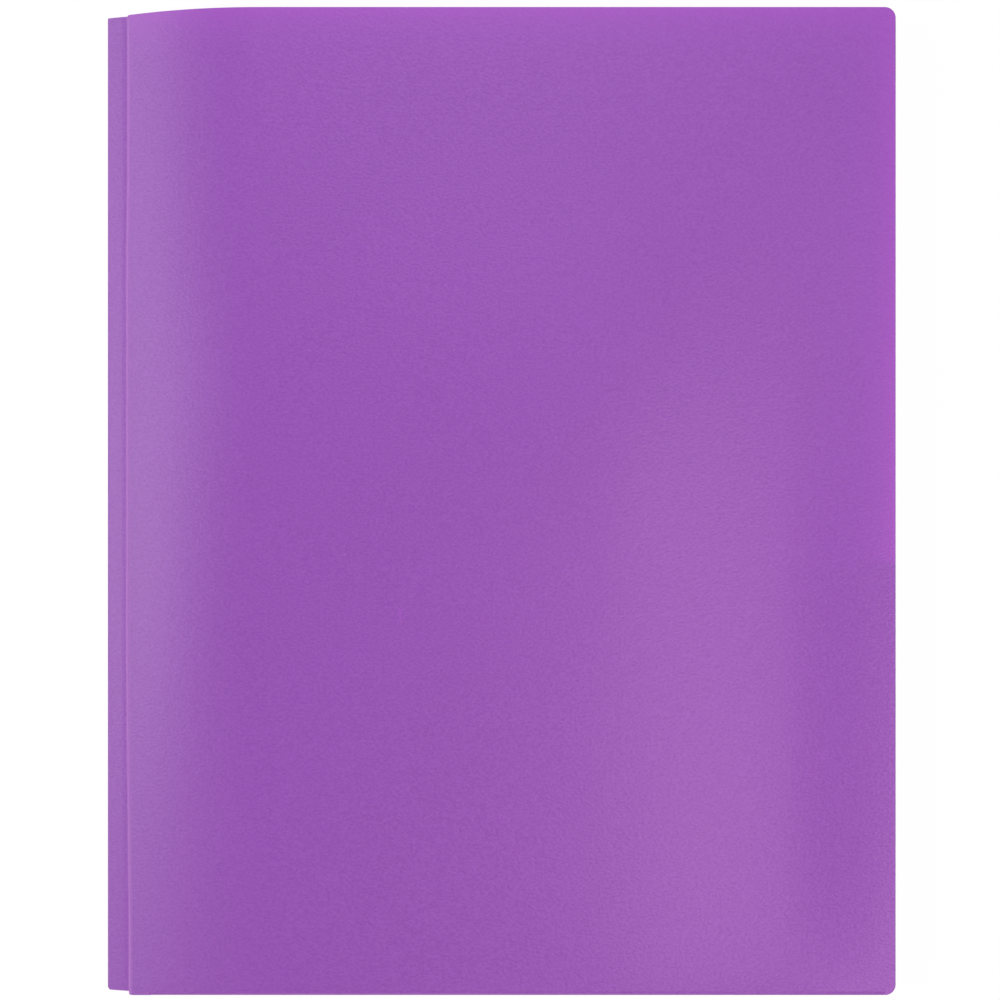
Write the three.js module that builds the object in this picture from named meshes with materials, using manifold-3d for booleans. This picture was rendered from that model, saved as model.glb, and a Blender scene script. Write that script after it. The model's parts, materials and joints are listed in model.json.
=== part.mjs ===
// A two-pocket folder of purple polypropylene sheet, closed and lying on its back cover.
//
// The folder is die-cut from one sheet and folded: back cover, spine strip and front cover, and on
// each cover a pocket whose bottom strip, flap, side strip and tab are folded from the same sheet.
// It is modelled panel by panel, split at its scores. The two pressed creases beside the spine
// strip are the hinges, and welds hold each pocket's tab to its cover.
//
// Millimetres, +Z up. The spine runs along Y on the -X side and the fore edge is at +X. The origin
// is the middle of the face that the folder lies on.

import * as THREE from 'three';
import { mergeVertices } from 'three/addons/utils/BufferGeometryUtils.js';
import Module from 'manifold-3d';

const wasm = await Module();
wasm.setup();

// Sheet and covers
const sheet = 0.6; // thickness of the sheet
const closedWidth = 235; // fold at the spine to the front cover's fore edge
const coverHeight = 292.1; // bottom fold to top edge
const foreSetback = 6.4; // the back cover ends this far inside the front cover's fore edge
const cornerRadius = 3.2; // die-cut corners at the fore edge
const foldGap = 0.3; // space between two panels at a score, and between a tab and its cover
const foldRadius = 1; // bend at a pocket's fold, to the middle of the sheet

// Spine strip and its creases
const spineWidth = 5.7; // axis of the back crease to axis of the front crease, along the strip
const spineLean = THREE.MathUtils.degToRad(18.5); // the strip above the table, folder closed
const spineTopInset = 0.4; // top end of the strip below the covers' top edge
const spineCorner = 1; // rounded bottom corner at the fold
const foldInside = 0.6; // room between the back cover and the strip inside their fold
const beadRadius = 0.35; // pressed bead of the front crease
const beadGap = 0.4; // room beside the bead, so that the panels pass each other when it opens

// Front cover, which springs up from the spine because the closed folder is thicker inside
const riseTop = 32; // width of the rise at the top edge
const riseBottom = 5; // width of the rise at the bottom fold, which holds the cover level
const riseFade = 15; // height above the bottom fold by which two thirds of the change is made
const risePower = 2.1; // how quickly the rise flattens out

// Pockets
const pocketHeight = 127.7; // bottom fold to the flap's top edge
const pocketDepth = 4.4; // room between a cover and its flap
const pocketStart = 7; // front crease to the inner end of the bottom strips
const flapTaper = 6; // the flap's inner edge leans this far from the spine at its top
const flapCorner = 10; // round inner corner at the flap's top
const flapClearance = 0.3; // between the two flaps, folder closed
const tabWidth = 17; // fore edge to the tab's free edge
const tabTaper = 5; // slope at both ends of the tab
const weldCount = 4;
const weldDiameter = 4;
const weldEndInset = 14; // end weld to the end of the tab

// Levels and edges that follow from the sizes
const bottomY = -coverHeight / 2;
const topY = coverHeight / 2;
const frontForeX = closedWidth / 2;
const backForeX = frontForeX - foreSetback;
const backFoldRadius = foldInside / 2 + sheet;
const backAxis = { x: -closedWidth / 2 + backFoldRadius, z: backFoldRadius };
const stripOffset = (foldInside + sheet) / 2;
const frontAxis = {
  x: backAxis.x + spineWidth * Math.cos(spineLean) - stripOffset * Math.sin(spineLean),
  z: backAxis.z + spineWidth * Math.sin(spineLean) + stripOffset * Math.cos(spineLean),
};
const frontCoverZ = 3 * sheet + 2 * pocketDepth + flapClearance;
const pocketStartX = frontAxis.x + pocketStart;
const backPanelEdge = Math.sqrt((backFoldRadius + foldGap) ** 2 - (foldInside / 2) ** 2);
const frontPanelEdge = beadRadius + beadGap;
const foldReach = foldRadius + sheet / 2; // a fold's outermost line to where its bend begins
const foldLine = foldReach + foldGap; // a fold's outermost line to the flat panel beside it

// Outside of the sheet, a little worn inside, and the whitened welds and creases
const coverFinish = { color: 0x9a5bb8, roughness: 0.55, metalness: 0 };
const innerFinish = { color: 0x8e52ac, roughness: 0.6, metalness: 0 };
const creaseFinish = { color: 0xa970c4, roughness: 0.45, metalness: 0 };
const weldFinish = { color: 0xb07fc8, roughness: 0.4, metalness: 0 };

function piece(name, geometry, finish) {
  const mesh = new THREE.Mesh(geometry, new THREE.MeshStandardMaterial(finish));
  mesh.name = name;
  return mesh;
}

// A flat panel of the sheet, cut to an outline, lying on the level lowZ.
function panel(name, outline, lowZ, finish, thickness = sheet) {
  const geometry = new THREE.ExtrudeGeometry(outline, {
    depth: thickness,
    bevelEnabled: false,
    curveSegments: 8,
  });
  const mesh = piece(name, geometry, finish);
  mesh.position.z = lowZ;
  return mesh;
}

function toSolid(geometry) {
  const bare = new THREE.BufferGeometry();
  bare.setAttribute('position', geometry.getAttribute('position'));
  bare.setIndex(geometry.getIndex());
  const merged = mergeVertices(bare);
  return new wasm.Manifold(new wasm.Mesh({
    numProp: 3,
    vertProperties: new Float32Array(merged.getAttribute('position').array),
    triVerts: new Uint32Array(merged.getIndex().array),
  }));
}

function toGeometry(solid) {
  const mesh = solid.getMesh();
  const geometry = new THREE.BufferGeometry();
  geometry.setAttribute('position', new THREE.BufferAttribute(mesh.vertProperties, 3));
  geometry.setIndex(new THREE.BufferAttribute(mesh.triVerts, 1));
  geometry.computeVertexNormals();
  return geometry;
}

// A cover's outline. Its bottom edge steps back where the fold of the pocket takes over, and
// beyond the fold's end stands the rounded corner.
function coverOutline(left, foreX) {
  const shape = new THREE.Shape();
  const quarter = Math.PI / 2;
  const cornerX = foreX - cornerRadius;
  const cutAngle = Math.asin(foldGap / cornerRadius) - quarter;
  shape.moveTo(left, bottomY);
  shape.lineTo(pocketStartX - foldGap, bottomY);
  shape.lineTo(pocketStartX - foldGap, bottomY + foldLine);
  shape.lineTo(cornerX + foldGap, bottomY + foldLine);
  shape.absarc(cornerX, bottomY + cornerRadius, cornerRadius, cutAngle, 0);
  shape.absarc(cornerX, topY - cornerRadius, cornerRadius, 0, quarter);
  shape.lineTo(left, topY);
  return shape;
}

// Width of the front cover's rise at a height above the bottom fold.
function riseWidth(height) {
  return THREE.MathUtils.lerp(riseTop, riseBottom, Math.exp(-height / riseFade));
}

// The middle of the sheet in a section across the front cover, out from the front crease:
// how high it stands at a distance, and how steeply it climbs there.
function riseAt(distance, width) {
  const drop = frontCoverZ + sheet / 2 - frontAxis.z;
  const left = Math.max(0, 1 - distance / width);
  return {
    z: frontCoverZ + sheet / 2 - drop * left ** risePower,
    slope: (drop * risePower * left ** (risePower - 1)) / width,
  };
}

// The front cover as a loft: one section of the sheet in each row, its rise changing along Y.
// The sections share their count of points, and the fore edge's corners are cut afterwards.
function frontCoverGeometry() {
  const riseSteps = 14;
  const rowSteps = 24;
  const rows = [];
  for (let row = 0; row <= rowSteps; row += 1) rows.push(coverHeight * (row / rowSteps) ** 2.5);

  const positions = [];
  for (const height of rows) {
    const width = riseWidth(height);
    const start = frontPanelEdge / Math.hypot(1, riseAt(0, width).slope);
    const distances = [];
    for (let step = 0; step <= riseSteps; step += 1) {
      distances.push(start + (width - start) * (step / riseSteps) ** 1.5);
    }
    distances.push(frontForeX - frontAxis.x);
    for (const distance of distances) {
      const { z, slope } = riseAt(distance, width);
      const length = Math.hypot(1, slope);
      for (const side of [1, -1]) {
        const offset = (side * sheet) / 2;
        positions.push(
          frontAxis.x + distance - (offset * slope) / length,
          bottomY + height,
          z + offset / length,
        );
      }
    }
  }

  const columns = riseSteps + 2;
  const at = (row, column, under) => (row * columns + column) * 2 + under;
  const faces = [];
  const quad = (a, b, c, d) => faces.push(a, b, c, a, c, d);
  for (let row = 0; row < rows.length - 1; row += 1) {
    for (let column = 0; column < columns - 1; column += 1) {
      const next = column + 1;
      quad(at(row, column, 0), at(row, next, 0), at(row + 1, next, 0), at(row + 1, column, 0));
      quad(at(row, column, 1), at(row + 1, column, 1), at(row + 1, next, 1), at(row, next, 1));
    }
    const end = columns - 1;
    quad(at(row, 0, 0), at(row + 1, 0, 0), at(row + 1, 0, 1), at(row, 0, 1));
    quad(at(row, end, 0), at(row, end, 1), at(row + 1, end, 1), at(row + 1, end, 0));
  }
  for (let column = 0; column < columns - 1; column += 1) {
    const next = column + 1;
    const last = rows.length - 1;
    quad(at(0, column, 0), at(0, column, 1), at(0, next, 1), at(0, next, 0));
    quad(at(last, column, 0), at(last, next, 0), at(last, next, 1), at(last, column, 1));
  }
  const loft = new THREE.BufferGeometry();
  loft.setAttribute('position', new THREE.Float32BufferAttribute(positions, 3));
  loft.setIndex(faces);

  const cutter = new THREE.ExtrudeGeometry(coverOutline(backAxis.x, frontForeX), {
    depth: 2 * frontCoverZ,
    bevelEnabled: false,
    curveSegments: 8,
  });
  return toGeometry(toSolid(loft).intersect(toSolid(cutter)));
}

function backCover() {
  const outline = coverOutline(backAxis.x + backPanelEdge, backForeX);
  return panel('back_cover', outline, 0, coverFinish);
}

// The spine strip lies in its own turned group, whose origin is the back crease's axis.
function spineStrip() {
  const outline = new THREE.Shape();
  const cornerX = backPanelEdge + spineCorner;
  outline.moveTo(cornerX, bottomY);
  outline.lineTo(spineWidth - frontPanelEdge, bottomY);
  outline.lineTo(spineWidth - frontPanelEdge, topY - spineTopInset);
  outline.lineTo(backPanelEdge, topY - spineTopInset);
  outline.absarc(cornerX, bottomY + spineCorner, spineCorner, Math.PI, 1.5 * Math.PI);
  const strip = panel('spine_strip', outline, foldInside / 2, coverFinish);
  const turned = new THREE.Group();
  turned.position.set(backAxis.x, 0, backAxis.z);
  turned.rotation.y = -spineLean;
  turned.add(strip);
  return turned;
}

// A crease is a pressed bead on its hinge axis, as long as the spine strip.
function crease(name, radius, axis) {
  const length = coverHeight - spineTopInset;
  const bead = piece(name, new THREE.CylinderGeometry(radius, radius, length, 16), creaseFinish);
  bead.position.set(axis.x, -spineTopInset / 2, axis.z);
  return bead;
}

// A strip between two folds, in section a channel: out from one panel, across and back to the
// other. It runs along Y with its back to +X, or turned by a quarter along X with its back to -Y.
function foldedStrip(name, height, length, turned) {
  const outer = foldReach;
  const inner = foldRadius - sheet / 2;
  const quarter = Math.PI / 2;
  const bend = height / 2 - foldRadius;
  const section = new THREE.Shape();
  section.absarc(0, -bend, outer, -quarter, 0);
  section.absarc(0, bend, outer, 0, quarter);
  section.absarc(0, bend, inner, quarter, 0, true);
  section.absarc(0, -bend, inner, 0, -quarter, true);
  const geometry = new THREE.ExtrudeGeometry(section, {
    depth: length,
    bevelEnabled: false,
    curveSegments: 6,
  });
  geometry.translate(0, 0, -length / 2);
  geometry.rotateX(quarter);
  if (turned) geometry.rotateZ(-quarter);
  return piece(name, geometry, innerFinish);
}

// The flap's outline: square to its two folds, with its inner edge leaning from the spine.
function flapOutline(foreX) {
  const flapTop = bottomY + pocketHeight;
  const shape = new THREE.Shape();
  shape.moveTo(pocketStartX, bottomY + foldLine);
  shape.lineTo(foreX - foldLine, bottomY + foldLine);
  shape.lineTo(foreX - foldLine, flapTop);
  shape.lineTo(pocketStartX + flapTaper + flapCorner, flapTop);
  const innerTop = new THREE.Vector2(pocketStartX + flapTaper, flapTop);
  const below = flapTop - flapCorner;
  const leanX = pocketStartX + (flapTaper * (below - bottomY)) / pocketHeight;
  shape.quadraticCurveTo(innerTop.x, innerTop.y, leanX, below);
  return shape;
}

// The tab is cut on a slope at both ends, so that it slides in past the flap when folded.
function tabOutline(foreX, lowY, highY) {
  const shape = new THREE.Shape();
  shape.moveTo(foreX - foldLine, lowY);
  shape.lineTo(foreX - foldLine, highY);
  shape.lineTo(foreX - tabWidth, highY - tabTaper);
  shape.lineTo(foreX - tabWidth, lowY + tabTaper);
  return shape;
}

// One pocket. It is built out from the inner face of its cover: upwards on the back cover and
// downwards on the front cover.
function pocket(side, foreX, innerFaceZ, upwards) {
  const group = new THREE.Group();
  const level = (from, thickness = 0) => innerFaceZ + (upwards ? from : -from - thickness);
  const sideLow = bottomY + cornerRadius;
  const flapTop = bottomY + pocketHeight;

  const bottomLength = foreX - cornerRadius - pocketStartX;
  const bottom = foldedStrip(`${side}_pocket_bottom`, pocketDepth + sheet, bottomLength, true);
  bottom.position.set(pocketStartX + bottomLength / 2, bottomY + foldReach, level(pocketDepth / 2));
  group.add(bottom);

  const sideLength = flapTop - sideLow;
  const sideStrip = foldedStrip(`${side}_pocket_side`, pocketDepth - foldGap, sideLength, false);
  const sideMiddle = (foldGap + sheet + pocketDepth) / 2;
  sideStrip.position.set(foreX - foldReach, sideLow + sideLength / 2, level(sideMiddle));
  group.add(sideStrip);

  group.add(panel(`${side}_pocket_flap`, flapOutline(foreX), level(pocketDepth, sheet), innerFinish));
  const tab = tabOutline(foreX, sideLow, flapTop);
  group.add(panel(`${side}_pocket_tab`, tab, level(foldGap, sheet), innerFinish));

  const weldX = foreX - (tabWidth + foldLine) / 2;
  const firstWeld = sideLow + weldEndInset;
  const weldPitch = (flapTop - weldEndInset - firstWeld) / (weldCount - 1);
  for (let index = 0; index < weldCount; index += 1) {
    const spot = new THREE.Shape();
    spot.absarc(weldX, firstWeld + index * weldPitch, weldDiameter / 2, 0, 2 * Math.PI);
    const name = `${side}_weld_${index + 1}`;
    group.add(panel(name, spot, level(0, foldGap), weldFinish, foldGap));
  }
  return group;
}

const folder = new THREE.Group();

const back = new THREE.Group();
back.add(backCover());
back.add(crease('back_crease', backFoldRadius, backAxis));
back.add(pocket('back', backForeX, sheet, true));
folder.add(back);

const spine = new THREE.Group();
spine.add(spineStrip());
spine.add(crease('front_crease', beadRadius, frontAxis));
folder.add(spine);

const front = new THREE.Group();
front.add(piece('front_cover', frontCoverGeometry(), coverFinish));
front.add(pocket('front', frontForeX, frontCoverZ, false));
folder.add(front);

export default folder;
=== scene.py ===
# %% [markdown]
# A two-pocket folder of purple polypropylene, closed and seen from straight above.
#
# The real folder is one sheet of plastic, die-cut, scored and folded, with a welded pocket inside
# each cover. Its looks come from three things: the satin skin of the sheet, the way the springy
# front cover rises, domes and dips, and the crisp folds at the spine and along the pockets. So
# every panel here is a surface worked out from a formula, given the real thickness of the sheet.
#
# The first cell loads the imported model. Everything is measured from it, in metres.

# %% Load the frame
import json
import math

import bpy
import numpy as np
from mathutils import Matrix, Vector


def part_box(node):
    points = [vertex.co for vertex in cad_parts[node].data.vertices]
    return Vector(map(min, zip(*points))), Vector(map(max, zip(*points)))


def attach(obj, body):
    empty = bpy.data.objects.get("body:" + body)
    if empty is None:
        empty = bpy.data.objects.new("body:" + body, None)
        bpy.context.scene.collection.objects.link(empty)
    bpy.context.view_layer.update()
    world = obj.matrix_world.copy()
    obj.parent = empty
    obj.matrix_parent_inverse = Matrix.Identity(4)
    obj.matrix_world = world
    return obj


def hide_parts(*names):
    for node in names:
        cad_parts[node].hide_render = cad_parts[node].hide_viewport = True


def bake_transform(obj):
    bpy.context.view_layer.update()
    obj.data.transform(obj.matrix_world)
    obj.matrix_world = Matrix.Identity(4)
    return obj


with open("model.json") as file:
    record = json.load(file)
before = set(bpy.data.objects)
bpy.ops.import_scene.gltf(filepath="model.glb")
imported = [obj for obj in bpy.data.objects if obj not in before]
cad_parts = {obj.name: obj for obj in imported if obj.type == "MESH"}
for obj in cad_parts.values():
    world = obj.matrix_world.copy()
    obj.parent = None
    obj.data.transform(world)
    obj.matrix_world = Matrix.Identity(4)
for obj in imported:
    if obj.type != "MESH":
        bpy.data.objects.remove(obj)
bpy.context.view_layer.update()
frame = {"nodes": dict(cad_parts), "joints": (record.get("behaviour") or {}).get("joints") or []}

print("nodes:", len(frame["nodes"]))

# %% [markdown]
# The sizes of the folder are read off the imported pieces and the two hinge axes, so the dressed
# model follows the construction. Only what the construction leaves out is given in the cells
# below: how the springy cover settles, and the small chamfers at the cut edges.

# %% Sizes read from the frame
MM = 0.001


def corners(node):
    """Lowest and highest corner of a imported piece, as two arrays in metres."""
    low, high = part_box(node)
    return np.array(low), np.array(high)


def middle_z(node):
    """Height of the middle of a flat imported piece."""
    low, high = corners(node)
    return (low[2] + high[2]) / 2


hinge = {joint["name"]: np.array(joint["pos_m"]) for joint in frame["joints"]}
back_axis, front_axis = hinge["spine_fold"], hinge["cover_fold"]
back_low, back_high = corners("back_cover")
front_low, front_high = corners("front_cover")
sheet = back_high[2] - back_low[2]
bottom_y, top_y = front_low[1], front_high[1]
fore_x = {"front": front_high[0], "back": back_high[0]}
cover_z = {"front": front_high[2] - sheet / 2, "back": back_low[2] + sheet / 2}

fold_low, fold_high = corners("front_pocket_bottom")
fold_reach = fold_high[1] - fold_low[1]
fold_radius = fold_reach - sheet / 2
pocket_start = fold_low[0]
corner_radius = fore_x["front"] - fold_high[0]
pocket_top = corners("front_pocket_flap")[1][1]
print("sheet %.2f mm, cover %.1f mm high" % (sheet / MM, (top_y - bottom_y) / MM))
print("folds bend at %.2f mm, corners at %.2f mm" % (fold_radius / MM, corner_radius / MM))

# %% [markdown]
# Between the two creases runs the spine strip. In section it starts beside the back crease, a
# little above the back cover, and leans up to the front crease. The lean follows from where the
# two axes lie. The tool that presses the crease leaves a shallow groove in the strip just before
# it. There the strip lies flatter and catches less light, so the crease stands out as a pale line.

# %% The spine strip's line
GROOVE = 0.28 * MM
GROOVE_SPAN = (0.66, 1.16)
strip_offset = back_axis[2] - sheet / 2
axis_gap = (front_axis - back_axis)[[0, 2]]
spine_lean = math.atan2(axis_gap[1], axis_gap[0]) - math.asin(
    strip_offset / np.hypot(*axis_gap))
spine_width = math.sqrt(axis_gap @ axis_gap - strip_offset**2)
strip_along = np.array([math.cos(spine_lean), math.sin(spine_lean)])
strip_normal = np.array([-math.sin(spine_lean), math.cos(spine_lean)])
strip_start = back_axis[[0, 2]] + strip_offset * strip_normal


def grid(x, y, z):
    """Three arrays that fit together, as one grid of points."""
    return np.stack(np.broadcast_arrays(x, y, z), -1)


def step(x, start, end):
    """0 before start, 1 after end, and 3t^2 - 2t^3 between them."""
    t = np.clip((x - start) / (end - start), 0, 1)
    return t * t * (3 - 2 * t)


def strip_point(distance, y):
    """A point on the middle of the strip at a distance along it: a straight line, less GROOVE
    times a step over GROOVE_SPAN, in widths of the strip, which would end past the crease."""
    pressed = GROOVE * step(distance / spine_width, *GROOVE_SPAN)
    x = strip_start[0] + distance * strip_along[0] - pressed * strip_normal[0]
    z = strip_start[1] + distance * strip_along[1] - pressed * strip_normal[1]
    return grid(x, y, z)


print("strip %.1f mm wide, leaning %.1f degrees" % (spine_width / MM, math.degrees(spine_lean)))

# %% [markdown]
# The front cover is the piece that shows most. In section it leaves the crease steeply, and then
# eases over about 40 mm into its level, and over more near the bottom. The photo shows this as a
# pale band beside the spine. One formula for the height gives it: a lofted surface, whose section
# changes along the cover.

# %% The rise beside the crease
RISE_WIDTH = 41 * MM
RISE_WIDER = 16 * MM
WIDER_REACH = 130 * MM
RISE_POWER = 2.05


def near(distance, reach):
    """1 at an edge, falling inwards to 0 as the square of 1 - distance / reach."""
    return np.clip(1 - distance / reach, 0, 1) ** 2


def rise_z(x, y):
    """Height of the front cover's middle: its level, less drop (1 - d/width)^RISE_POWER, where d
    is the distance from the front crease. The width grows towards the bottom edge."""
    distance = np.maximum(x - front_axis[0], 0)
    drop = cover_z["front"] - front_axis[2]
    width = RISE_WIDTH + RISE_WIDER * near(y - bottom_y, WIDER_REACH)
    return cover_z["front"] - drop * np.maximum(1 - distance / width, 0) ** RISE_POWER


print("the cover rises %.1f mm" % ((rise_z(0.0, 0.0) - rise_z(front_axis[0], 0.0)) / MM))

# %% [markdown]
# A folded plastic sheet never lies dead flat. The folds at the bottom and the fore edge hold those
# edges level. Between them the springy cover buckles a little: it stands up in a low dome above
# the pockets, and beside the fore edge it dips into the hollow of the pocket. This could be
# simulated, but a formula is steadier and quick.
#
# The layers below follow the cover by a share: the tab whole, the two flaps by half, the back
# cover not at all. So the layers keep their order and never cut through each other, and the hollow
# of the pockets closes up where the cover comes down to the crease. There the upper layers slide a
# little towards the bottom edge, and the crease bows: near both ends it lies further from the fold.

# %% How the folder settles
DOME = 2.3 * MM
DOME_X = (29 * MM, 112 * MM, 32 * MM)
DOME_Y = (34 * MM, 54 * MM, 46 * MM)
DIP = 3.5 * MM
DIP_X = (84 * MM, 38 * MM, 25 * MM)
DIP_END_Y = (-42 * MM, 124 * MM)
HELD_REACH = {"bottom": 18 * MM, "top": 28 * MM, "fore": 8 * MM}
SPINE_REACH = 40 * MM
ROLL = 0.15 * MM
ROLL_REACH = 9 * MM
ROLL_FULL, ROLL_OVER = 15 * MM, 55 * MM
BOW_MM = 0.17
BOTTOM_BOW_MM, BOTTOM_BOW_END = 0.68, (10 * MM, 105 * MM)
TOP_BOW_MM, TOP_BOW_END = 0.29, (48 * MM, 72 * MM)
BOW_FADE = 70 * MM
SLIDE = 0.25
SLIDE_REACH = 60 * MM
LEVELS = [
    corners("back_pocket_tab")[1][2],
    corners("back_pocket_flap")[0][2],
    corners("front_pocket_flap")[1][2],
    corners("front_pocket_tab")[0][2],
]
SHARES = [0, 0.5, 0.5, 1]


def hill(x, centre, before, after):
    """A smooth hill, exp(-((x - centre) / width)^2), with a width of its own on each side."""
    width = np.where(x < centre, before, after)
    return np.exp(-(((x - centre) / width) ** 2))


def held(distance, reach):
    """0 at an edge that is held level, growing inwards as 1 - exp(-distance / reach)."""
    return 1 - np.exp(-np.maximum(distance, 0) / reach)


def lift(x, y):
    """How far the front cover lies above its level: the dome less the dip, both fading to the
    edges, less a small roll at the low fore corner. DOME_X, DOME_Y and DIP_X hold a centre and
    the widths before and after it."""
    dome = DOME * hill(x, *DOME_X) * hill(y, *DOME_Y)
    dip = DIP * hill(x, *DIP_X) * (1 - step(y, *DIP_END_Y))
    edges = held(y - bottom_y, HELD_REACH["bottom"]) * held(top_y - y, HELD_REACH["top"])
    edges = edges * held(fore_x["front"] - x, HELD_REACH["fore"])
    edges = edges * step(x, front_axis[0], front_axis[0] + SPINE_REACH)
    roll = ROLL * near(fore_x["front"] - x, ROLL_REACH)
    roll = roll * (1 - step(y, bottom_y + ROLL_FULL, bottom_y + ROLL_OVER))
    return (dome - dip) * edges - roll


def bow_at(y):
    """How far the crease lies from its axis: BOW_MM in the middle, more towards both its ends."""
    at_bottom = 1 - step(y - bottom_y, *BOTTOM_BOW_END)
    at_top = 1 - step(top_y - y, *TOP_BOW_END)
    return (BOW_MM + BOTTOM_BOW_MM * at_bottom + TOP_BOW_MM * at_top) * MM


def bow(points):
    """The points pushed from the fold by bow_at(y) beside the front crease, fading to both sides."""
    x, y, z = np.moveaxis(np.asarray(points, float), -1, 0)
    on_strip = step(x, back_axis[0], front_axis[0])
    past_crease = 1 - step(x, front_axis[0], front_axis[0] + BOW_FADE)
    return np.stack([x + bow_at(y) * on_strip * past_crease, y, z], -1)


def settle(points):
    """The points of a level piece as it really lies: lowered by its share of the cover's drop,
    slid towards the bottom by SLIDE of that, and bowed beside the crease."""
    x, y, z = np.moveaxis(np.asarray(points, float), -1, 0)
    drop = cover_z["front"] - rise_z(x, y) - lift(x, y)
    drop = drop * np.interp(z, LEVELS, SHARES)
    slide = SLIDE * drop * (1 - step(y, bottom_y, bottom_y + SLIDE_REACH))
    return bow(np.stack([x, y - slide, z - drop], -1))


across_cover = np.linspace(front_axis[0], fore_x["front"], 90)
along_cover = np.linspace(bottom_y, top_y, 90)
lifts = lift(*np.meshgrid(across_cover, along_cover))
print("the cover lies %.2f mm low to %.2f mm high" % (lifts.min() / MM, lifts.max() / MM))

# %% [markdown]
# Every panel is the same thing: a sheet of even thickness with cut edges. It is made once, as a
# function that takes a grid of points on the middle of the sheet. Solidify could thicken a plain
# grid too, but working it out here keeps the two skins, the rim and its small chamfer under
# control, and lets two panels meet edge to edge without a groove.

# %% A sheet of even thickness
CHAMFER = 0.09 * MM
BUTT = 0.004 * MM
SHARP_DEGREES = 30


def grid_normals(middle):
    """Unit cross product of the grid's tangents, along the columns and along the rows."""
    across = np.gradient(middle, axis=1)
    along = np.gradient(middle, axis=0)
    normal = np.cross(across, along)
    return normal / np.linalg.norm(normal, axis=-1, keepdims=True)


def make_mesh(name, points, faces):
    """A mesh object from arrays, shaded smooth. Edges sharper than SHARP_DEGREES stay crisp."""
    mesh = bpy.data.meshes.new(name)
    mesh.from_pydata(points.tolist(), [], faces.tolist())
    mesh.shade_smooth()
    mesh.set_sharp_from_angle(angle=math.radians(SHARP_DEGREES))
    piece = bpy.data.objects.new(name, mesh)
    bpy.context.scene.collection.objects.link(piece)
    return piece


def closed_sheet(name, middle, outer="above", butted=(), thickness=sheet):
    """A closed sheet round a grid of middle points.

    Its faces are middle + n t/2 and middle - n t/2, where n is the grid's normal. outer says
    which of them is the outer skin; the other gets the second finish. The rim is a band with a
    chamfer above and below it, and carries the value 1 in the attribute cut_edge. butted names
    the sides, out of bottom, fore, top and spine, that meet another piece and keep a square end:
    bottom is the first row and spine the first column."""
    rows, columns = middle.shape[:2]
    normal = grid_normals(middle)
    index = np.arange(rows * columns).reshape(rows, columns)
    ring = np.concatenate([index[0, :-1], index[:-1, -1], index[-1, :0:-1], index[:0:-1, 0]])
    sides = ["bottom"] * (columns - 1) + ["fore"] * (rows - 1)
    sides += ["top"] * (columns - 1) + ["spine"] * (rows - 1)
    inset = np.array([BUTT if side in butted else CHAMFER for side in sides])[:, None]

    ring_middle = middle.reshape(-1, 3)[ring]
    ring_normal = normal.reshape(-1, 3)[ring]
    tangent = np.roll(ring_middle, -1, 0) - np.roll(ring_middle, 1, 0)
    outward = np.cross(tangent, ring_normal)
    outward /= np.linalg.norm(outward, axis=1, keepdims=True)

    above = (middle + normal * thickness / 2).reshape(-1, 3)
    below = (middle - normal * thickness / 2).reshape(-1, 3)
    above[ring] -= outward * inset
    below[ring] -= outward * inset
    upper = ring_middle + ring_normal * (thickness / 2 - inset)
    lower = ring_middle - ring_normal * (thickness / 2 - inset)

    a, b = index[:-1, :-1].ravel(), index[:-1, 1:].ravel()
    c, d = index[1:, 1:].ravel(), index[1:, :-1].ravel()
    count, cells = rows * columns, len(a)
    faces = [np.stack([a, b, c, d], 1), np.stack([a, d, c, b], 1) + count]
    upper_ring = 2 * count + np.arange(len(ring))
    lower_ring = upper_ring + len(ring)
    for low, high in ((ring + count, lower_ring), (lower_ring, upper_ring), (upper_ring, ring)):
        faces.append(np.stack([low, np.roll(low, -1), np.roll(high, -1), high], 1))
    faces = np.concatenate(faces)

    piece = make_mesh(name, np.concatenate([above, below, upper, lower]), faces)
    place = np.arange(len(faces))
    cut = piece.data.attributes.new("cut_edge", "FLOAT", "FACE")
    cut.data.foreach_set("value", (place >= 2 * cells).astype(np.float32))
    inner = (place >= cells) & (place < 2 * cells) if outer == "above" else place < cells
    piece.data.polygons.foreach_set("material_index", inner.astype(np.int32))
    return piece


def whiten_and_highlight(piece, middle, share):
    """Raises the paler tone on both skins to a share between 0 and 1, for a sheet made round this
    grid: whitening at a fold, and on the front crease's flank also a painted highlight. share has
    one value for each cell of the grid, or for each row or column of cells."""
    cells = (middle.shape[0] - 1, middle.shape[1] - 1)
    layer = piece.data.attributes["cut_edge"]
    values = np.empty(len(layer.data), np.float32)
    layer.data.foreach_get("value", values)
    values[:2 * cells[0] * cells[1]] = np.tile(np.broadcast_to(share, cells).ravel(), 2)
    layer.data.foreach_set("value", values)


print("cut edges have a chamfer of %.2f mm" % (CHAMFER / MM))

# %% [markdown]
# The satin skin. Polypropylene sheet is extruded between rollers. The outer roller is lightly
# blasted, so that face has a fine, even grain and a soft, wide highlight; the inner face is
# smoother. The colour is in the plastic itself. It whitens where it is bent or cut, which is why
# folds and edges look paler. On the front crease's flank the paler tone is also a painted highlight.
#
# One small function adds a node with its settings and links. Every finish below is built with it.

# %% Helpers for finishes
def linear(hex_colour):
    """An sRGB hex colour as linear red, green, blue and 1, by the sRGB curve."""
    values = [int(hex_colour[i:i + 2], 16) / 255 for i in (1, 3, 5)]
    curve = [v / 12.92 if v <= 0.04045 else ((v + 0.055) / 1.055) ** 2.4 for v in values]
    return (*curve, 1.0)


def add_node(tree, kind, settings=None, inputs=None):
    """A node of a kind with its settings; inputs are values, or sockets to link from."""
    node = tree.nodes.new(kind)
    for key, value in (settings or {}).items():
        setattr(node, key, value)
    for key, value in (inputs or {}).items():
        if isinstance(value, bpy.types.NodeSocket):
            tree.links.new(value, node.inputs[key])
        else:
            node.inputs[key].default_value = value
    return node


print("#808080 is %.3f in linear light" % linear("#808080")[0])
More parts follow.
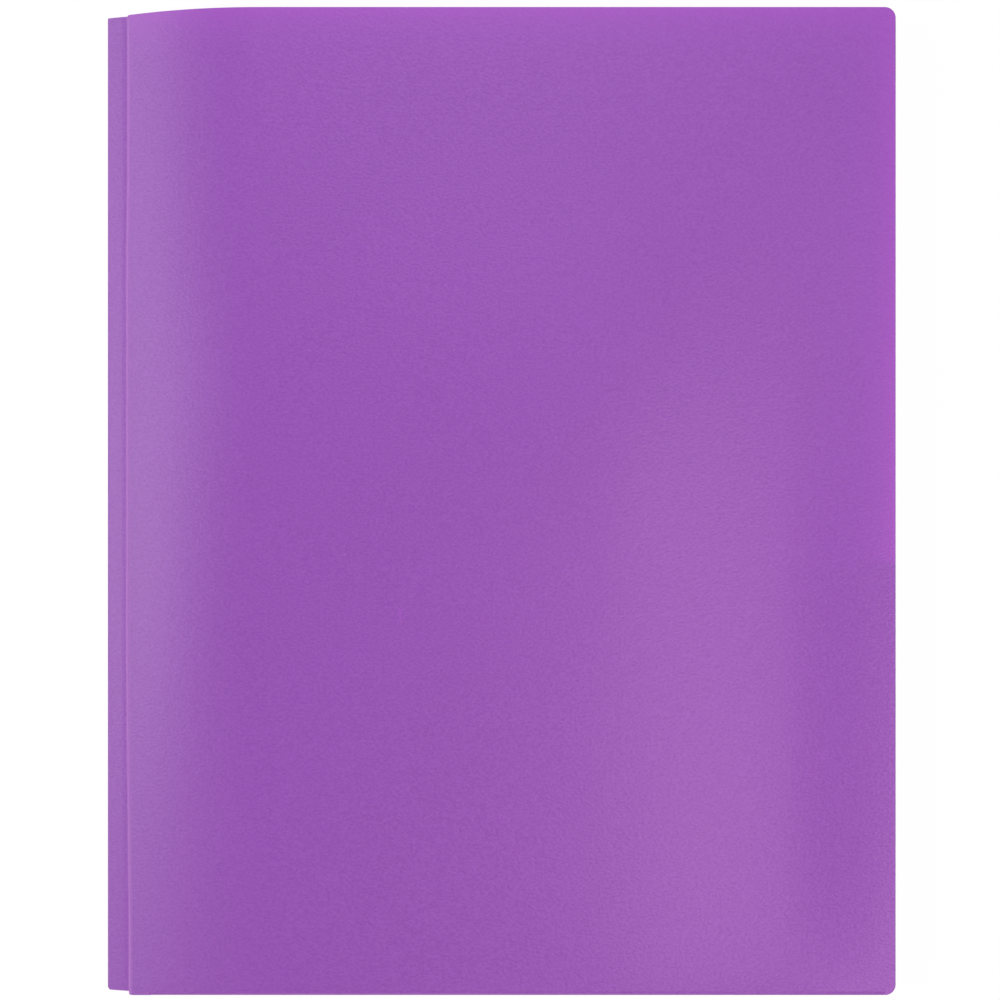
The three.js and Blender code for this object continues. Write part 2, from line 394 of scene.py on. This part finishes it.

# %% [markdown]
# The grain is drawn from noise in real sizes: grains about 0.6 mm long and 0.4 mm wide, which is
# what shows in the photo of a much finer texture. Bumps could make all of it, but strong bumps look
# like leather. So a little is bumps, a little is the depth of the colour, and a little is painted
# glints: pale specks added to the colour where the blasted skin scatters white light. A longer noise
# gives the faint streaks that the rollers leave across the sheet, and a very wide one the clouds of
# a sheet that is never coloured quite evenly.
#
# The sheet lets some light through. It is thin, so weak subsurface scattering is enough. Along its
# free edges more light gets in from below, and that light is painted: a clearer, paler tone is mixed
# into the colour there.

# %% The polypropylene finish
GRAIN_MM, GRAIN_STRETCH, GRAIN_DEPTH = 0.62, 0.72, 0.20
PAINTED_GLINTS = 0.042
STREAK_MM, STREAK_STRETCH, STREAK_DEPTH = 0.9, 0.06, 0.035
CLOUD_MM, CLOUD_DEPTH = 55, 0.05
EDGE_LIGHT_AND_SCUFF = "#9d58c1"
PALE_TONE_AND_HIGHLIGHT = "#b57fd0"
SCUFF_PLACE = (-28.8 * MM, -33.4 * MM, 12.4 * MM)
SCUFF_REACH = (0.6 * MM, 3.4 * MM, 3 * MM)
PLASTIC = {
    "IOR": 1.49,
    "Subsurface Weight": 0.25,
    "Subsurface Radius": (1.0, 0.3, 1.0),
    "Subsurface Scale": 0.6 * MM,
}
MIX_SHARE, MIX_FIRST, MIX_SECOND, MIX_RESULT = 0, 6, 7, 2


def polypropylene(name, skin, roughness, bump_mm, grain_share, scuffed=False):
    """Extruded polypropylene sheet, satin and slightly translucent, paler at a cut edge.

    grain_share scales the grain in the colour: 1 is the blasted outer face. scuffed adds the one
    short pale scuff that shows on the cover."""
    material = bpy.data.materials.new(name)
    material.use_nodes = True
    tree = material.node_tree
    surface = tree.nodes["Principled BSDF"]
    place = add_node(tree, "ShaderNodeTexCoord").outputs["Object"]

    def noise(stretch, size_mm, detail):
        """Noise of a size in millimetres, drawn out across the sheet by 1 / stretch."""
        scaled = add_node(tree, "ShaderNodeMapping", None, {
            "Vector": place, "Scale": (stretch, 1, 1)})
        return add_node(tree, "ShaderNodeTexNoise", None, {
            "Vector": scaled.outputs["Vector"],
            "Scale": 1 / (size_mm * MM),
            "Detail": detail,
        }).outputs[0]

    def about_zero(pattern, amount):
        """A pattern that runs from 0 to 1, as amount times its distance from 0.5."""
        return add_node(tree, "ShaderNodeMath", {"operation": "MULTIPLY_ADD"}, {
            0: pattern, 1: amount, 2: -amount / 2}).outputs[0]

    def plus(value, before):
        """The sum of two values, of which the first comes from a node."""
        return add_node(tree, "ShaderNodeMath", {"operation": "ADD"}, {
            0: value, 1: before}).outputs[0]

    def attribute(key):
        """The value that the mesh carries in an attribute."""
        return add_node(tree, "ShaderNodeAttribute", {"attribute_name": key}).outputs["Fac"]

    def mixed(share, colour, other):
        """A colour mixed with another, given in hex, by a share from 0 to 1. The mix node has
        sockets for many kinds of data; MIX_SHARE to MIX_RESULT number those for colours."""
        return add_node(tree, "ShaderNodeMix", {"data_type": "RGBA"}, {
            MIX_SHARE: share, MIX_FIRST: colour, MIX_SECOND: linear(other)}).outputs[MIX_RESULT]

    grain = noise(GRAIN_STRETCH, GRAIN_MM, detail=1.5)
    level = plus(about_zero(grain, GRAIN_DEPTH * grain_share), 1.0)
    level = plus(about_zero(noise(STREAK_STRETCH, STREAK_MM, detail=2), STREAK_DEPTH), level)
    level = plus(about_zero(noise(1, CLOUD_MM, detail=2), CLOUD_DEPTH), level)
    toned = add_node(tree, "ShaderNodeVectorMath", {"operation": "SCALE"}, {
        0: linear(skin)[:3], "Scale": level})
    # Painted glints: pale specks added to the colour stand in for the sheen of the grain.
    with_painted_glints = add_node(tree, "ShaderNodeVectorMath", {"operation": "ADD"}, {
        0: toned.outputs[0], 1: about_zero(grain, PAINTED_GLINTS * grain_share)})
    # Painted light along the free edges, for the light that comes through the sheet; the real scuff
    # shares its paler tone.
    edge_light_and_scuff = attribute("free_edge")
    if scuffed:
        nearby = add_node(tree, "ShaderNodeMapping", None, {
            "Vector": place,
            "Location": [-c / r for c, r in zip(SCUFF_PLACE, SCUFF_REACH)],
            "Scale": [1 / r for r in SCUFF_REACH]})
        distance = add_node(tree, "ShaderNodeVectorMath", {"operation": "LENGTH"}, {
            0: nearby.outputs["Vector"]}).outputs["Value"]
        mark = add_node(tree, "ShaderNodeMath", {"operation": "SUBTRACT", "use_clamp": True}, {
            0: 1.0, 1: distance}).outputs[0]
        edge_light_and_scuff = plus(mark, edge_light_and_scuff)
    with_edge_light_and_scuff = mixed(edge_light_and_scuff, with_painted_glints.outputs[0], EDGE_LIGHT_AND_SCUFF)
    # The paler tone of whitened cut edges and folds; on the front crease's flank it is also a
    # painted highlight.
    paler = mixed(attribute("cut_edge"), with_edge_light_and_scuff, PALE_TONE_AND_HIGHLIGHT)
    tree.links.new(paler, surface.inputs["Base Color"])

    bumps = add_node(tree, "ShaderNodeBump", None, {
        "Strength": 1.0, "Distance": bump_mm * MM, "Height": grain})
    tree.links.new(bumps.outputs["Normal"], surface.inputs["Normal"])
    surface.inputs["Roughness"].default_value = roughness
    for key, value in PLASTIC.items():
        surface.inputs[key].default_value = value
    return material


outer_skin = polypropylene(
    "polypropylene_outer_skin", "#8f56b5", roughness=0.42, bump_mm=0.10, grain_share=1.0,
    scuffed=True)
inner_skin = polypropylene(
    "polypropylene_inner_skin", "#8851ae", roughness=0.36, bump_mm=0.04, grain_share=0.5)
folded_skin = polypropylene(
    "polypropylene_at_a_crease", "#935bb8", roughness=0.38, bump_mm=0.06, grain_share=0.6)
weld_skin = polypropylene(
    "polypropylene_welded", "#b083cb", roughness=0.30, bump_mm=0.02, grain_share=0.3)
print("finishes:", [m.name for m in bpy.data.materials if m.name.startswith("poly")])


# %% [markdown]
# Dressing a piece is always the same few calls: its outer and inner finish, the imported pieces that
# it stands for, and the body that it moves with. The two crease pieces are tied to no body.

# %% Dress a piece
def dress(piece, finishes, nodes, body=None):
    """Gives a piece its finishes, hides what it stands for, and ties it to its body."""
    for finish in finishes:
        piece.data.materials.append(finish)
    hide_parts(*nodes)
    if body:
        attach(piece, body)
    print("%s: %d faces" % (piece.name, len(piece.data.polygons)))


SKINS = (outer_skin, inner_skin)
CREASED = (folded_skin, folded_skin)

# %% [markdown]
# The outline is a rectangle with small die-cut corners at the fore edge, and a step in the bottom
# edge where the pocket's fold takes over. On the grid, the columns crowd where something happens:
# beside the crease, at the pocket's end and round the corners. The rows crowd at the bottom,
# where the rise widens and the low fore corner rolls down a little.

# %% The covers
CREASE_REACH = 1.0 * MM
HAIR = 0.01 * MM
TUCK = 0.25 * MM
RISE_SPAN, RISE_COLUMNS, RISE_CROWDING = 45 * MM, 40, 1.7
FLAT_COLUMNS, TURN_COLUMNS = 140, 12
COVER_ROWS, ROW_CROWDING = 120, 1.35
GLOW_REACH = 6 * MM


def corner_drop(past, radius):
    """How far a round corner lies inside the square one: r - sqrt(r^2 - past^2)."""
    return radius - np.sqrt(radius**2 - np.clip(past, 0, radius) ** 2)


def cover_columns(start, fore):
    """Column places: close ones in the rise, even ones past it, a few round the corner, and a
    pair a hair apart at each end of the pocket's fold."""
    rise = start + RISE_SPAN * np.linspace(0, 1, RISE_COLUMNS) ** RISE_CROWDING
    flat = np.linspace(rise[-1], fore - corner_radius, FLAT_COLUMNS)[1:]
    turn = fore - corner_radius * (1 - np.sin(np.linspace(0, np.pi / 2, TURN_COLUMNS)))[1:]
    score = [pocket_start - HAIR, pocket_start + HAIR, fore - corner_radius + 2 * HAIR]
    return np.unique(np.concatenate([rise, flat, turn, score]))


def cover_grid(start, fore, height):
    """The middle of a cover, whose bottom edge steps back where the pocket's fold begins."""
    x = cover_columns(start, fore)
    corner_x = fore - corner_radius
    folded = (x > pocket_start) & (x < corner_x + HAIR)
    rounding = corner_drop(x - corner_x, corner_radius)
    low = bottom_y + np.where(folded, fold_reach, TUCK + rounding)
    high = top_y - rounding
    share = np.linspace(0, 1, COVER_ROWS)[:, None] ** ROW_CROWDING
    y = low + (high - low) * share
    return settle(grid(x, y, height))


front_cover = closed_sheet(
    "front_cover_panel",
    cover_grid(front_axis[0] + CREASE_REACH, fore_x["front"], cover_z["front"]),
    butted=("spine", "bottom"),
)
dress(front_cover, SKINS, ["front_cover"], "front")


def paint_edge_light(piece):
    """Writes painted light into an attribute of the mesh, for the light that comes through the sheet
    near its free edges: 1 at the top edge and at the fore edge above the pocket, falling inwards as
    exp(-distance / GLOW_REACH)."""
    points = np.empty(3 * len(piece.data.vertices), np.float32)
    piece.data.vertices.foreach_get("co", points)
    x, y, _ = points.reshape(-1, 3).T
    from_top = np.exp(-np.maximum(top_y - y, 0) / GLOW_REACH)
    from_fore = np.exp(-np.maximum(fore_x["front"] - x, 0) / GLOW_REACH) * (y > pocket_top)
    glow = piece.data.attributes.new("free_edge", "FLOAT", "POINT")
    glow.data.foreach_set("value", (1 - (1 - from_top) * (1 - from_fore)).astype(np.float32))


paint_edge_light(front_cover)

back_cover = closed_sheet(
    "back_cover_panel",
    cover_grid(back_axis[0], fore_x["back"], cover_z["back"]),
    outer="below",
    butted=("spine", "bottom"),
)
dress(back_cover, SKINS, ["back_cover"], "back")

# %% [markdown]
# The spine strip lies between the two creases and rides on its own body. Its long edges meet the two
# folds, which are pieces of their own, as the real creases bend when the folder opens; here they are
# tied to no body. It stops a little before the front crease's axis, where the fold takes over, and
# its lower end is cut a little longer than the imported one's.

# %% The spine strip
STRIP_GAP = 0.45 * MM
STRIP_LONGER = 0.55 * MM
STRIP_COLUMNS, STRIP_CROWDING = 18, 1.3
SPINE_ROWS = 110
strip_low, strip_high = corners("spine_strip")
strip_end = spine_width - STRIP_GAP
strip_bottom = strip_low[1] - STRIP_LONGER
strip_rows = np.linspace(strip_bottom, strip_high[1], SPINE_ROWS)[:, None]
strip_columns = strip_end * np.linspace(0, 1, STRIP_COLUMNS) ** STRIP_CROWDING
spine_strip = closed_sheet(
    "spine_strip_panel",
    bow(strip_point(strip_columns, strip_rows)),
    butted=("spine", "fore"),
)
dress(spine_strip, SKINS, ["spine_strip"], "spine")

# %% [markdown]
# The two creases. At the back crease the sheet turns round in a half circle about the hinge axis,
# and its bottom corner is rounded. At the front crease it climbs out of the strip's groove into the
# cover's rise. This steep flank of stretched plastic catches the light; its paler tone is partly
# whitening and partly a painted highlight. The turn begins where the most bowed end of the crease
# leaves the strip, and is over where the straightest part of it meets the cover.

# %% The creases
SPINE_CORNER = 1.0 * MM
BACK_COLUMNS, FRONT_COLUMNS = 22, 19
CORNER_START, CORNER_SPAN = 0.2, 0.25
FLANK_WHITE_AND_HIGHLIGHT, FLANK = 0.62, (0.31, 0.10, 0.50)
spine_share = np.linspace(0, 1, SPINE_ROWS)[:, None]


def back_fold_grid():
    """A half circle about the back axis, from straight below it round the outside to the strip.
    Its lower end is cut to a round corner."""
    turn = np.linspace(-np.pi / 2, -3 * np.pi / 2 + spine_lean, BACK_COLUMNS)
    x = back_axis[0] + strip_offset * np.cos(turn)
    z = back_axis[2] + strip_offset * np.sin(turn)
    outermost = back_axis[0] - strip_offset
    low = strip_bottom + corner_drop(SPINE_CORNER - (x - outermost), SPINE_CORNER)
    return bow(grid(x, low + (strip_high[1] - low) * spine_share, z))


def direction(start, end):
    """Unit vectors from one row of points to another."""
    return (end - start) / np.linalg.norm(end - start, axis=-1, keepdims=True)


def front_fold_grid():
    """A cubic curve from the strip's end to the cover's start, along both their slopes:
    (1-s)^3 start + 3 (1-s)^2 s one + 3 (1-s) s^2 two + s^3 end. Both its ends go on from the
    strip's length to the cover's round a corner sqrt(1 - (1-u)^2), where u runs from 0 to 1
    over CORNER_SPAN of s."""
    s = np.linspace(0, 1, FRONT_COLUMNS)
    end_x = front_axis[0] + CREASE_REACH
    cover_ends = settle(grid(end_x, np.array([bottom_y + TUCK, top_y]), cover_z["front"]))[:, 1]
    corner = np.sqrt(1 - (1 - np.clip((s - CORNER_START) / CORNER_SPAN, 0, 1)) ** 2)
    low = strip_bottom + (cover_ends[0] - strip_bottom) * corner
    high = strip_high[1] + (cover_ends[1] - strip_high[1]) * corner
    y = low + (high - low) * spine_share
    s = s[:, None]
    start = strip_point(strip_end, y)
    before = strip_point(strip_end - HAIR, y)
    end = grid(end_x, y, rise_z(end_x, y))
    after = grid(end_x + HAIR, y, rise_z(end_x + HAIR, y))
    handle = np.linalg.norm(end - start, axis=-1, keepdims=True) / 3
    one = start + direction(before, start) * handle
    two = end - direction(end, after) * handle
    curve = (1 - s) ** 3 * start + 3 * (1 - s) ** 2 * s * one
    return bow(curve + 3 * (1 - s) * s**2 * two + s**3 * end)


back_fold = closed_sheet("back_crease_fold", back_fold_grid(), butted=("spine", "fore"))
dress(back_fold, CREASED, ["back_crease"])
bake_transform(back_fold)

front_fold_middle = front_fold_grid()
front_fold = closed_sheet("front_crease_fold", front_fold_middle, butted=("spine", "fore"))
# Painted highlight on the crease's flank, partly real whitening: a paler tone, strongest about a
# third of the way across the fold.
flank = hill(np.linspace(0, 1, FRONT_COLUMNS - 1), *FLANK)
whiten_and_highlight(front_fold, front_fold_middle, FLANK_WHITE_AND_HIGHLIGHT * flank)
dress(front_fold, CREASED, ["front_crease"])
strip_end_x = strip_point(strip_end, 0.0)[0]
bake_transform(front_fold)

# %% [markdown]
# The pockets. The cover's sheet folds round at the bottom edge into a narrow bottom strip and
# folds again into the flap. At the fore edge the flap folds into a side strip, and that into a
# tab, which lies inside the cover and is welded to it. In section each is a path of straight runs
# and quarter circles, and the sheet is that path carried along the edge.

# %% A folded path
TAPER = 6 * MM
FLAP_CORNER = 10 * MM
TAB_TAPER = 5 * MM
BEND_POINTS, WALL_POINTS, BEFORE_POINTS = 10, 6, 16
AFTER_POINTS, AFTER_CROWDING = 70, 1.4
FLAP_COLUMNS, SIDE_ROWS = 100, 70
FOLD_WHITE = 0.5


def folded_path(before, across, after):
    """A section with two bends, as points (outward, across): a run that ends at 0, a quarter
    circle r (sin a, 1 - cos a), a straight part, a second quarter circle, and a run back."""
    bend = np.linspace(0, np.pi / 2, BEND_POINTS)
    far = across - fold_radius
    first = fold_radius * np.stack([np.sin(bend), 1 - np.cos(bend)], 1)
    second = fold_radius * np.stack([np.cos(bend), np.sin(bend)], 1) + [0, far]
    wall = np.linspace(first[-1], second[0], WALL_POINTS)[1:-1]
    parts = [first, wall, second]
    if before:
        parts.insert(0, np.linspace([-before, 0], [0, 0], BEFORE_POINTS)[:-1])
    if after:
        share = 1 - (1 - np.linspace(0, 1, AFTER_POINTS)[1:, None]) ** AFTER_CROWDING
        parts.append(second[-1] - share * [after, 0])
    return np.concatenate(parts)


def flap_sides(y, fore):
    """Where the flap begins and ends at a height. The inner edge leans from the spine and its top
    corner is round; the fore edge is cut back round the corner where the two folds meet."""
    height = np.maximum(y - bottom_y, 0) / (pocket_top - bottom_y)
    inner = pocket_start + TAPER * height + corner_drop(y - pocket_top + FLAP_CORNER, FLAP_CORNER)
    cut = corner_radius - fold_reach
    outer = fore - fold_reach - corner_drop(cut - (y - bottom_y - fold_reach), cut)
    return inner, outer


def pocket(side, towards):
    """The bottom strip and flap as one folded sheet, and the side strip and tab as another.

    towards is +1 where the flap lies above its cover and -1 where it lies below."""
    fore = fore_x[side]
    flap_z = middle_z(side + "_pocket_flap")
    tab_low, tab_high = corners(side + "_pocket_tab")

    path = folded_path(0, abs(flap_z - cover_z[side]), pocket_top - bottom_y - fold_reach)
    y = bottom_y + fold_reach - path[:, :1]
    inner, outer = flap_sides(y, fore)
    x = inner + (outer - inner) * np.linspace(0, 1, FLAP_COLUMNS)
    flap_middle = settle(grid(x, y, cover_z[side] + towards * path[:, 1:]))
    flap = closed_sheet(
        side + "_pocket_folded_flap",
        flap_middle,
        outer="below" if towards < 0 else "above",
        butted=("bottom", "fore"),
    )
    bend = np.clip(path[:-1, :1] / fold_radius, 0, 1)
    whiten_and_highlight(flap, flap_middle, FOLD_WHITE * bend)
    dress(flap, SKINS, [side + "_pocket_flap", side + "_pocket_bottom"], side)

    tab_z = middle_z(side + "_pocket_tab")
    tab_width = fore - fold_reach - tab_low[0]
    path = folded_path(tab_width, abs(flap_z - tab_z), 0)
    slope = TAB_TAPER * np.clip(-path[:, 0] / tab_width, 0, 1)
    low, high = tab_low[1] + slope, tab_high[1] - slope
    y = low + (high - low) * np.linspace(0, 1, SIDE_ROWS)[:, None]
    side_strip = closed_sheet(
        side + "_pocket_folded_side",
        settle(grid(fore - fold_reach + path[:, 0], y, tab_z + towards * path[:, 1])),
        outer="above" if towards < 0 else "below",
        butted=("fore",),
    )
    dress(side_strip, SKINS, [side + "_pocket_side", side + "_pocket_tab"], side)


pocket("front", -1)
pocket("back", 1)

# %% [markdown]
# Four welds hold each tab. A hot tip presses the two layers together for a second, and a small
# round spot of them melts into one. Each is a thin disc between cover and tab, on a grid that is
# bent from a square to a circle, so the same sheet function can make it.

# %% The welds
WELDS_ON_A_TAB = 4
SPOT_LINES = 11


def weld_spot(side, number):
    """A disc between cover and tab. The square's (u, v) go to the circle by
    x = u sqrt(1 - v^2/2), y = v sqrt(1 - u^2/2)."""
    node = "%s_weld_%d" % (side, number)
    low, high = corners(node)
    centre, radius = (low + high) / 2, (high[0] - low[0]) / 2
    u, v = np.meshgrid(*[np.linspace(-1, 1, SPOT_LINES)] * 2)
    x = centre[0] + radius * u * np.sqrt(1 - v**2 / 2)
    y = centre[1] + radius * v * np.sqrt(1 - u**2 / 2)
    spot = closed_sheet(node + "_spot", settle(grid(x, y, centre[2])), thickness=high[2] - low[2])
    dress(spot, (weld_skin, weld_skin), [node], side)


for side in ("front", "back"):
    for number in range(1, WELDS_ON_A_TAB + 1):
        weld_spot(side, number)

# %% [markdown]
# The photo is a studio shot on white, so the floor is a plain white board. Strong lamps could make
# it white, but they would wash out the purple. Here the camera sees most of it as glow instead: it
# comes out white and yet keeps a trace of the folder's soft shadow.

# %% Floor
FLOOR_COLOUR = "#f7f7f7"
FLOOR_GLOW = 0.94
GLOW_STRENGTH = 1.02
HALF_BOARD = 3.0
BOARD_GAP = 0.1 * MM


def studio_board():
    """A wide white board just under the folder."""
    square = np.array([[-1, -1, 0], [1, -1, 0], [1, 1, 0], [-1, 1, 0]])
    points = HALF_BOARD * square - [0, 0, BOARD_GAP]
    board = make_mesh("studio_board", points, np.array([[0, 1, 2, 3]]))
    material = bpy.data.materials.new("white_board")
    material.use_nodes = True
    tree = material.node_tree
    surface = tree.nodes["Principled BSDF"]
    surface.inputs["Base Color"].default_value = linear(FLOOR_COLOUR)
    surface.inputs["Roughness"].default_value = 0.9
    glow = add_node(tree, "ShaderNodeEmission", None, {
        "Color": (1, 1, 1, 1), "Strength": GLOW_STRENGTH})
    ray = add_node(tree, "ShaderNodeLightPath").outputs["Is Camera Ray"]
    share = add_node(tree, "ShaderNodeMath", {"operation": "MULTIPLY"}, {0: ray, 1: FLOOR_GLOW})
    mixed = add_node(tree, "ShaderNodeMixShader", None, {
        0: share.outputs[0], 1: surface.outputs[0], 2: glow.outputs[0]})
    tree.links.new(mixed.outputs[0], tree.nodes["Material Output"].inputs["Surface"])
    board.data.materials.append(material)
    print("board %.0f m wide" % (2 * HALF_BOARD))


studio_board()

# %% [markdown]
# A soft box on the left lights the rise beside the spine, with two weaker ones above and below it.
# One at the top and a warmer one at the lower right make the wide, soft patches on the cover, and
# two weak ones fill in from the right and the front. Each has a slight tint of its own, because
# the cover's purple is redder in some of these patches and bluer in others. A single large lamp
# would be simpler, but it would light the cover evenly and hide its dome and its dip. The world
# adds a little even light, and the camera sees it as white.

# %% Light
BOX_SIZE = 0.45
AMBIENT = 0.08


def soft_box(name, place, power, colour):
    """A square lamp at a place, turned towards the folder."""
    lamp = bpy.data.lights.new(name, "AREA")
    lamp.shape = "SQUARE"
    lamp.size = BOX_SIZE
    lamp.energy = power
    lamp.color = colour
    box = bpy.data.objects.new(name, lamp)
    box.rotation_euler = (Vector() - Vector(place)).to_track_quat("-Z", "Y").to_euler()
    box.location = place
    bpy.context.scene.collection.objects.link(box)


soft_box("left_soft_box", (-1.02, 0, 0.80), power=4.7, colour=(1.0, 1.0, 0.91))
soft_box("upper_left_fill", (-0.98, 0.56, 0.65), power=3.3, colour=(1.0, 0.92, 0.93))
soft_box("lower_left_fill", (-0.94, -0.70, 0.65), power=2.0, colour=(1.0, 0.98, 0.62))
soft_box("top_soft_box", (0, 0.69, 1.10), power=4.2, colour=(0.94, 0.67, 1.0))
soft_box("lower_right_soft_box", (0.45, -0.31, 1.18), power=6.4, colour=(1.0, 0.60, 0.79))
soft_box("right_fill", (0.80, 0, 1.02), power=3.1, colour=(1.0, 0.80, 0.95))
soft_box("low_front_fill", (0, -1.20, 0.40), power=1.5, colour=(1.0, 1.0, 1.0))

world = bpy.data.worlds.new("studio")
bpy.context.scene.world = world
world.use_nodes = True
sky = world.node_tree
background = sky.nodes["Background"]
background.inputs["Color"].default_value = (1, 1, 1, 1)
camera_ray = add_node(sky, "ShaderNodeLightPath").outputs["Is Camera Ray"]
strength = add_node(sky, "ShaderNodeMath", {"operation": "MULTIPLY_ADD"}, {
    0: camera_ray, 1: 1 - AMBIENT, 2: AMBIENT})
sky.links.new(strength.outputs[0], background.inputs["Strength"])
bpy.context.scene.view_settings.view_transform = "Standard"

# %% [markdown]
# The camera looks straight down, with its sensor level with the cover. One pixel of the 1000 is
# 0.2953 mm at the top of the cover. The drop of the top edge beside the crease fixes how far the
# camera stands off, and a shift puts the point below it a little under the middle. The shift is
# small, because the camera keeps it when it is moved round to another side.

# %% Camera
FRAME_PIXELS = 1000
PIXEL = 0.2953 * MM
STAND_OFF = 520 * MM
FRAME_CENTRE = (0.625 * MM, 0.42 * MM)
SHIFT = 0.05
SENSOR_MM = 36.0

camera = bpy.data.cameras.new("camera")
camera.sensor_width = SENSOR_MM
camera.lens = SENSOR_MM * STAND_OFF / (FRAME_PIXELS * PIXEL)
camera.shift_y = SHIFT
camera.clip_start = 0.01
viewer = bpy.data.objects.new("camera", camera)
viewer.location = (
    FRAME_CENTRE[0],
    FRAME_CENTRE[1] - SHIFT * FRAME_PIXELS * PIXEL,
    front_high[2] + STAND_OFF,
)
bpy.context.scene.collection.objects.link(viewer)
bpy.context.scene.camera = viewer
print("lens %.1f mm" % camera.lens)
